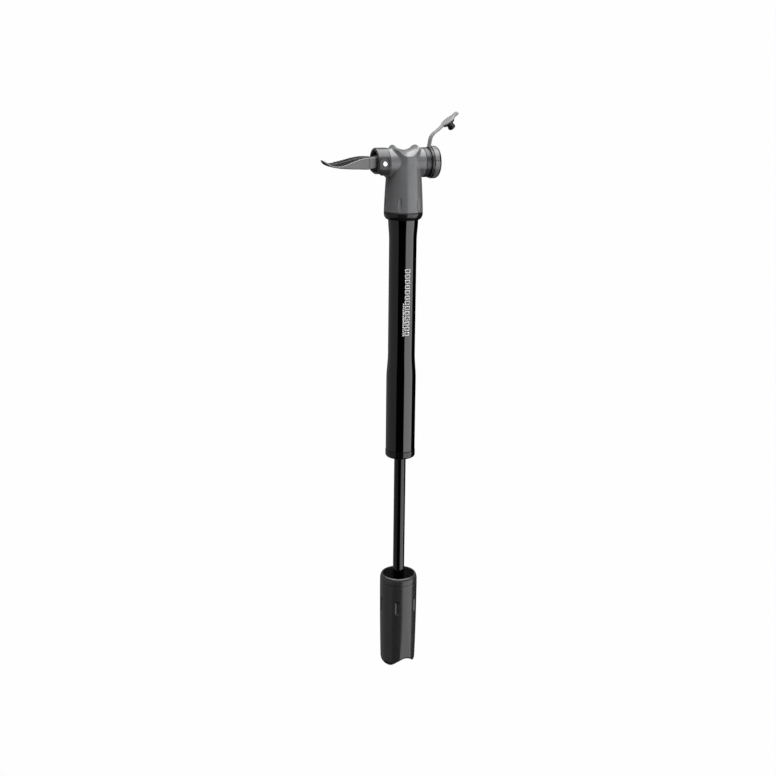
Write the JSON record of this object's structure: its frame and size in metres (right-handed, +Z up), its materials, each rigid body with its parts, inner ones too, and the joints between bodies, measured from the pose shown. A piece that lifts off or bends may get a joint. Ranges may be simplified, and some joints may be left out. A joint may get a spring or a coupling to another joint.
{
  "type": "mini pump",
  "caption": "Telescoping bicycle mini pump: slim barrel with a T-shaped thumb-lever valve head, a dust plug on a folding strap, and a sleeve handle that slides over the barrel.",
  "frame": {"origin": "middle of the barrel's narrow straight stretch, on the barrel's axis, where a frame clip holds it", "axes": "+Z up along the barrel to the head, +X out of the valve mouth, the thumb lever points to -X"},
  "size_m": [0.0927, 0.0262, 0.3897],
  "materials": {
    "barrel_black": "gloss black anodised",
    "rod_black": "satin black anodised",
    "cap_black": "satin black anodised",
    "head_grey": "satin moulded",
    "collar_dark": "satin moulded",
    "base_dark": "satin moulded",
    "lever_grey": "satin moulded",
    "pad_black": "ribbed",
    "steel": "polished",
    "brass": "turned",
    "neck_grey": "satin moulded",
    "seal_black": "matt",
    "strap_grey": "satin",
    "cap_grey": "satin moulded",
    "bush_nylon": "natural nylon",
    "handle_black": "matt moulded"
  },
  "bodies": {
    "barrel": {"barrel_tube": "barrel_black", "end_cap": "cap_black", "shaft_bush": "bush_nylon", "wiper_seal": "seal_black", "stop_bumper": "seal_black", "head_body": "head_grey", "head_base_ring": "base_dark", "barrel_seal": "seal_black", "check_seat": "brass", "lever_collar": "collar_dark", "lever_pin": "steel", "valve_gasket": "seal_black", "neck_ring": "neck_grey", "groove_seal": "seal_black", "strap_ring": "strap_grey"},
    "check_valve": {"check_poppet": "brass", "check_spring": "steel"},
    "plunger": {"cam_plunger": "bush_nylon", "plunger_seal": "seal_black", "core_pin": "brass"},
    "lever": {"thumb_lever": "lever_grey", "lever_pad": "pad_black"},
    "valve_cap": {"valve_cap": "cap_grey"},
    "dust_strap": {"strap_link": "strap_grey"},
    "dust_cap": {"dust_cap": "strap_grey", "dust_plug": "seal_black"},
    "piston": {"piston_head": "bush_nylon", "piston_seal": "seal_black"},
    "handle": {"piston_rod": "rod_black", "rod_washer": "steel", "rod_nut": "steel", "handle_shell": "handle_black", "floor_washer": "steel", "rod_screw": "steel"}
  },
  "joints": [
    {"name": "handle_slide", "type": "slide", "parent": "barrel", "child": "piston", "axis": [0, 0, 1], "range_m": [0, 0.1427]},
    {"name": "handle_spin", "type": "hinge", "parent": "piston", "child": "handle", "pos_m": [0, 0, -0.2], "axis": [0, 0, 1], "continuous": true},
    {"name": "lever_fold", "type": "hinge", "parent": "barrel", "child": "lever", "pos_m": [-0.0163, 0, 0.088], "axis": [0, -1, 0], "range_deg": [0, 90]},
    {"name": "plunger_slide", "type": "slide", "parent": "barrel", "child": "plunger", "axis": [1, 0, 0], "range_m": [-0.0022, 0]},
    {"name": "valve_cap_turn", "type": "hinge", "parent": "barrel", "child": "valve_cap", "pos_m": [0.02, 0, 0.088], "axis": [1, 0, 0], "range_deg": [0, 360]},
    {"name": "strap_fold", "type": "hinge", "parent": "barrel", "child": "dust_strap", "pos_m": [0.018, 0, 0.10232], "axis": [0, 1, 0], "range_deg": [0, 93.2], "stiffness_Nm_per_rad": 0.001, "springref_deg": -5.73},
    {"name": "dust_cap_fold", "type": "hinge", "parent": "dust_strap", "child": "dust_cap", "pos_m": [0.02315, 0, 0.1083], "axis": [0, 1, 0], "range_deg": [0, 36]},
    {"name": "check_lift", "type": "slide", "parent": "barrel", "child": "check_valve", "axis": [0, 0, 1], "range_m": [0, 0.0015], "stiffness_N_per_m": 60, "springref_m": -0.003, "deforming": ["check_spring"]}
  ],
  "couplings": [
    {"joint": "plunger_slide", "follows": "lever_fold", "m_per_rad": -0.0013051},
    {"joint": "dust_cap_fold", "follows": "strap_fold", "ratio": 0.37876}
  ]
}
